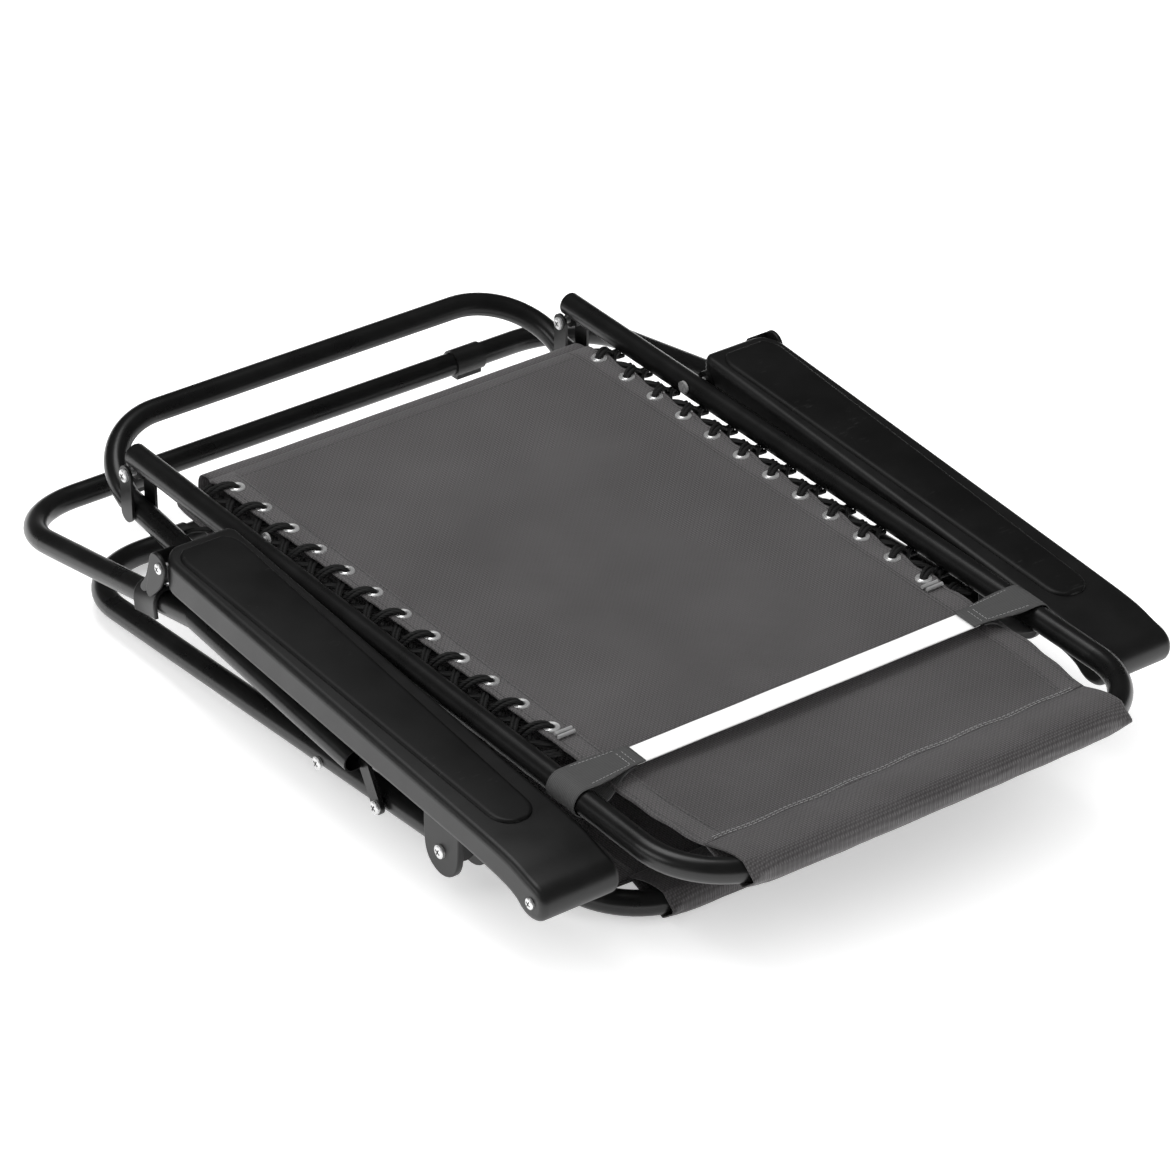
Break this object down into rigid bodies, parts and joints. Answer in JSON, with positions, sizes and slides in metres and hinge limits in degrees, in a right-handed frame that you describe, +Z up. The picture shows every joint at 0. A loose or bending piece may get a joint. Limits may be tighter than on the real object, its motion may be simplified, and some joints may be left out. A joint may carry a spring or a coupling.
{
  "type": "folding reclining lounger",
  "caption": "Reclining lounger with laced sling, moulded armrests and head pillow, folded flat on the floor; legs, seat, back and armrests unfold together.",
  "frame": {"origin": "on the floor under the middle of the folded bundle", "axes": "+X across the width, +Y to the hip hinge end, +Z up"},
  "size_m": [0.678, 0.94, 0.1521],
  "materials": {
    "powder_coat": "semi-gloss black powder coat",
    "zinc": "bright zinc",
    "moulded_plastic": "fine satin moulded black",
    "arm_pad": "satin black, softer feel",
    "black_plastic": "plain black",
    "bungee": "braided black elastic cord",
    "textilene": "charcoal open weave",
    "webbing": "grey polyester",
    "elastic": "flat white elastic"
  },
  "bodies": {
    "front_leg": {"front_leg_frame": "powder_coat", "front_leg_glides": "moulded_plastic", "front_leg_end_plugs": "black_plastic"},
    "rear_leg": {"rear_leg_frame": "powder_coat", "rear_leg_glides": "moulded_plastic", "rear_leg_pivot_bolts": "zinc"},
    "seat": {"seat_frame": "powder_coat", "seat_pivot_bolts": "zinc", "seat_pivot_spacers": "black_plastic", "hinge_plates_outer": "powder_coat", "hinge_plates_inner": "powder_coat", "hinge_bolts": "zinc", "hinge_cap_nuts": "black_plastic", "seat_sling": "textilene", "seat_foot_sleeve": "textilene", "seat_eyelets": "zinc", "seat_lacing_left": "bungee", "seat_lacing_right": "bungee"},
    "back": {"back_frame": "powder_coat", "back_hinge_tabs": "powder_coat", "back_end_plugs": "black_plastic", "back_sling": "textilene", "back_head_sleeve": "textilene", "back_eyelets": "zinc", "back_lacing_left": "bungee", "back_lacing_right": "bungee", "lacing_cord_ends": "zinc", "back_arm_bolts": "zinc", "back_arm_spacers": "black_plastic", "hip_fold": "textilene"},
    "pillow": {"strap_loop_left": "webbing", "strap_loop_right": "webbing", "elastic_band": "elastic", "head_pillow": "webbing"},
    "arm_left": {"armrest_left": "moulded_plastic", "armrest_pad_left": "arm_pad", "nose_screw_left": "zinc", "storage_clip_left": "moulded_plastic", "clip_screw_left": "zinc", "arm_pivot_bolt_left": "zinc"},
    "arm_right": {"armrest_right": "moulded_plastic", "armrest_pad_right": "arm_pad", "nose_screw_right": "zinc", "storage_clip_right": "moulded_plastic", "clip_screw_right": "zinc", "arm_pivot_bolt_right": "zinc"}
  },
  "joints": [
    {"name": "unfold", "type": "hinge", "parent": "front_leg", "child": "seat", "pos_m": [0, -0.023, 0.03], "axis": [1, 0, 0], "range_deg": [0, 140]},
    {"name": "back_hinge", "type": "hinge", "parent": "seat", "child": "back", "pos_m": [0, 0.355, 0.118], "axis": [1, 0, 0], "range_deg": [-140, 0], "deforming": ["hip_fold"]},
    {"name": "arm_left_pivot", "type": "hinge", "parent": "front_leg", "child": "arm_left", "pos_m": [-0.297, -0.209, 0.042], "axis": [1, 0, 0], "range_deg": [0, 140]},
    {"name": "arm_right_pivot", "type": "hinge", "parent": "front_leg", "child": "arm_right", "pos_m": [0.297, -0.209, 0.042], "axis": [1, 0, 0], "range_deg": [0, 140]},
    {"name": "rear_leg_pivot", "type": "hinge", "parent": "front_leg", "child": "rear_leg", "pos_m": [0, -0.116, 0.036], "axis": [1, 0, 0], "range_deg": [0, 63]},
    {"name": "pillow_slide", "type": "slide", "parent": "back", "child": "pillow", "axis": [0, 0.9994, 0.035], "range_m": [-0.05, 0.03]}
  ],
  "couplings": [
    {"joint": "back_hinge", "follows": "unfold", "ratio": -1},
    {"joint": "arm_left_pivot", "follows": "unfold", "ratio": 1},
    {"joint": "arm_right_pivot", "follows": "unfold", "ratio": 1},
    {"joint": "rear_leg_pivot", "follows": "unfold", "ratio": 0.45}
  ]
}
